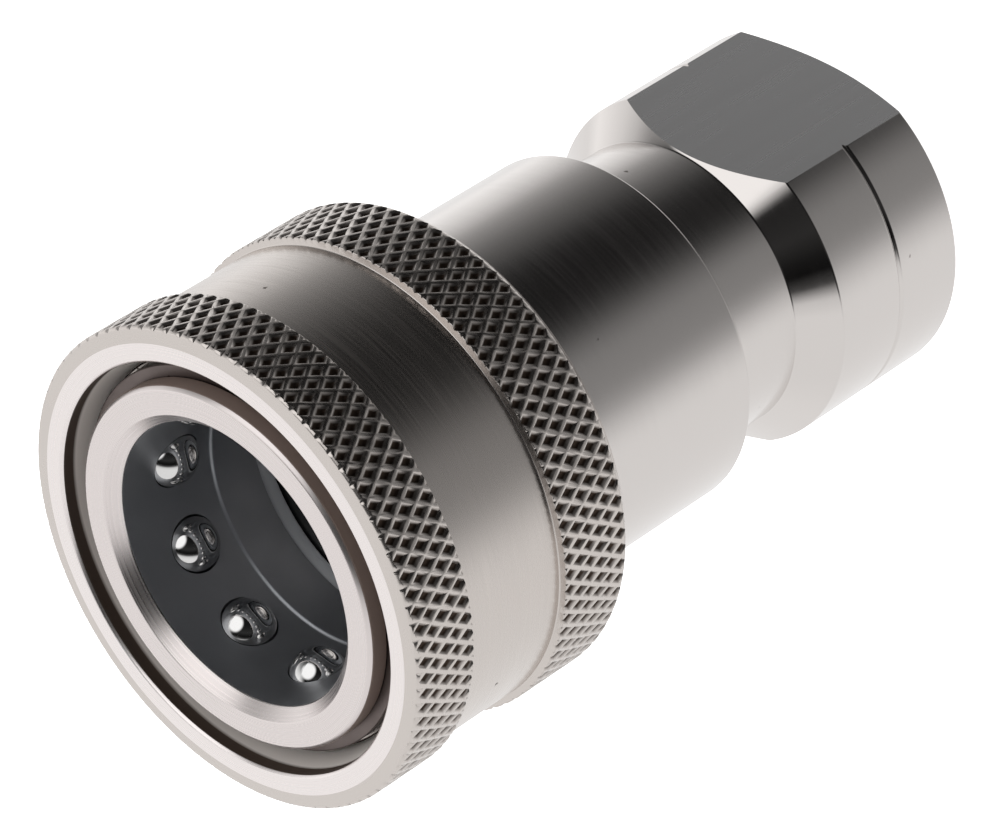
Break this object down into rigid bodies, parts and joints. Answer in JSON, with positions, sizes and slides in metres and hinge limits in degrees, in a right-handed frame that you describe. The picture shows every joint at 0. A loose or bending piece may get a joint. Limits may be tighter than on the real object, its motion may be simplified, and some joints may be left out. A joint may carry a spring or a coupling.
{
  "type": "hydraulic quick coupling socket",
  "caption": "Stainless steel hydraulic quick coupling socket with a knurled pull-back sleeve, ball lock, poppet valve and threaded female port.",
  "frame": {"origin": "centre of the port face, which is the lowest plane when the coupling stands on its port end", "axes": "+Z along the coupling's axis towards the socket mouth, +X square to one of the two wrench flats"},
  "size_m": [0.0406, 0.0406, 0.0702],
  "materials": {
    "stainless_steel": "fine turned, satin",
    "sleeve_steel": "satin with knurled bands",
    "ball_steel": "polished",
    "spring_steel": "drawn wire",
    "seal_rubber": "moulded",
    "white_ptfe": "smooth"
  },
  "bodies": {
    "coupler": {"socket_body": "stainless_steel", "port_adapter": "stainless_steel", "sleeve_retaining_ring": "spring_steel", "spring_stop_ring": "spring_steel", "probe_seal": "seal_rubber", "backup_ring": "white_ptfe", "poppet_spring": "spring_steel", "poppet_guide": "stainless_steel", "guide_retaining_ring": "spring_steel", "body_seal": "seal_rubber"},
    "sleeve_carrier": {"sleeve_spring": "spring_steel"},
    "sleeve": {"locking_sleeve": "sleeve_steel"},
    "poppet": {"poppet": "stainless_steel", "poppet_seal": "seal_rubber"},
    "locking_ball_01": {"locking_ball_01": "ball_steel"},
    "locking_ball_02": {"locking_ball_02": "ball_steel"},
    "locking_ball_03": {"locking_ball_03": "ball_steel"},
    "locking_ball_04": {"locking_ball_04": "ball_steel"},
    "locking_ball_05": {"locking_ball_05": "ball_steel"},
    "locking_ball_06": {"locking_ball_06": "ball_steel"},
    "locking_ball_07": {"locking_ball_07": "ball_steel"},
    "locking_ball_08": {"locking_ball_08": "ball_steel"},
    "locking_ball_09": {"locking_ball_09": "ball_steel"},
    "locking_ball_10": {"locking_ball_10": "ball_steel"}
  },
  "joints": [
    {"name": "sleeve_spin", "type": "hinge", "parent": "coupler", "child": "sleeve_carrier", "pos_m": [0, 0, 0.055], "axis": [0, 0, 1], "continuous": true},
    {"name": "sleeve_slide", "type": "slide", "parent": "sleeve_carrier", "child": "sleeve", "axis": [0, 0, -1], "range_m": [0, 0.0062], "stiffness_N_per_m": 5000, "springref_m": -0.009, "deforming": ["sleeve_spring"]},
    {"name": "poppet_slide", "type": "slide", "parent": "coupler", "child": "poppet", "axis": [0, 0, -1], "range_m": [0, 0.005], "stiffness_N_per_m": 3000, "springref_m": -0.006, "deforming": ["poppet_spring"]},
    {"name": "locking_ball_01_slide", "type": "slide", "parent": "coupler", "child": "locking_ball_01", "axis": [0.9613, 0.2756, 0], "range_m": [0, 0.00155]},
    {"name": "locking_ball_02_slide", "type": "slide", "parent": "coupler", "child": "locking_ball_02", "axis": [0.6157, 0.788, 0], "range_m": [0, 0.00155]},
    {"name": "locking_ball_03_slide", "type": "slide", "parent": "coupler", "child": "locking_ball_03", "axis": [0.0349, 0.9994, 0], "range_m": [0, 0.00155]},
    {"name": "locking_ball_04_slide", "type": "slide", "parent": "coupler", "child": "locking_ball_04", "axis": [-0.5592, 0.829, 0], "range_m": [0, 0.00155]},
    {"name": "locking_ball_05_slide", "type": "slide", "parent": "coupler", "child": "locking_ball_05", "axis": [-0.9397, 0.342, 0], "range_m": [0, 0.00155]},
    {"name": "locking_ball_06_slide", "type": "slide", "parent": "coupler", "child": "locking_ball_06", "axis": [-0.9613, -0.2756, 0], "range_m": [0, 0.00155]},
    {"name": "locking_ball_07_slide", "type": "slide", "parent": "coupler", "child": "locking_ball_07", "axis": [-0.6157, -0.788, 0], "range_m": [0, 0.00155]},
    {"name": "locking_ball_08_slide", "type": "slide", "parent": "coupler", "child": "locking_ball_08", "axis": [-0.0349, -0.9994, 0], "range_m": [0, 0.00155]},
    {"name": "locking_ball_09_slide", "type": "slide", "parent": "coupler", "child": "locking_ball_09", "axis": [0.5592, -0.829, 0], "range_m": [0, 0.00155]},
    {"name": "locking_ball_10_slide", "type": "slide", "parent": "coupler", "child": "locking_ball_10", "axis": [0.9397, -0.342, 0], "range_m": [0, 0.00155]}
  ],
  "couplings": [
    {"joint": "locking_ball_01_slide", "follows": "sleeve_slide", "ratio": 0.24516},
    {"joint": "locking_ball_02_slide", "follows": "sleeve_slide", "ratio": 0.24516},
    {"joint": "locking_ball_03_slide", "follows": "sleeve_slide", "ratio": 0.24516},
    {"joint": "locking_ball_04_slide", "follows": "sleeve_slide", "ratio": 0.24516},
    {"joint": "locking_ball_05_slide", "follows": "sleeve_slide", "ratio": 0.24516},
    {"joint": "locking_ball_06_slide", "follows": "sleeve_slide", "ratio": 0.24516},
    {"joint": "locking_ball_07_slide", "follows": "sleeve_slide", "ratio": 0.24516},
    {"joint": "locking_ball_08_slide", "follows": "sleeve_slide", "ratio": 0.24516},
    {"joint": "locking_ball_09_slide", "follows": "sleeve_slide", "ratio": 0.24516},
    {"joint": "locking_ball_10_slide", "follows": "sleeve_slide", "ratio": 0.24516}
  ]
}
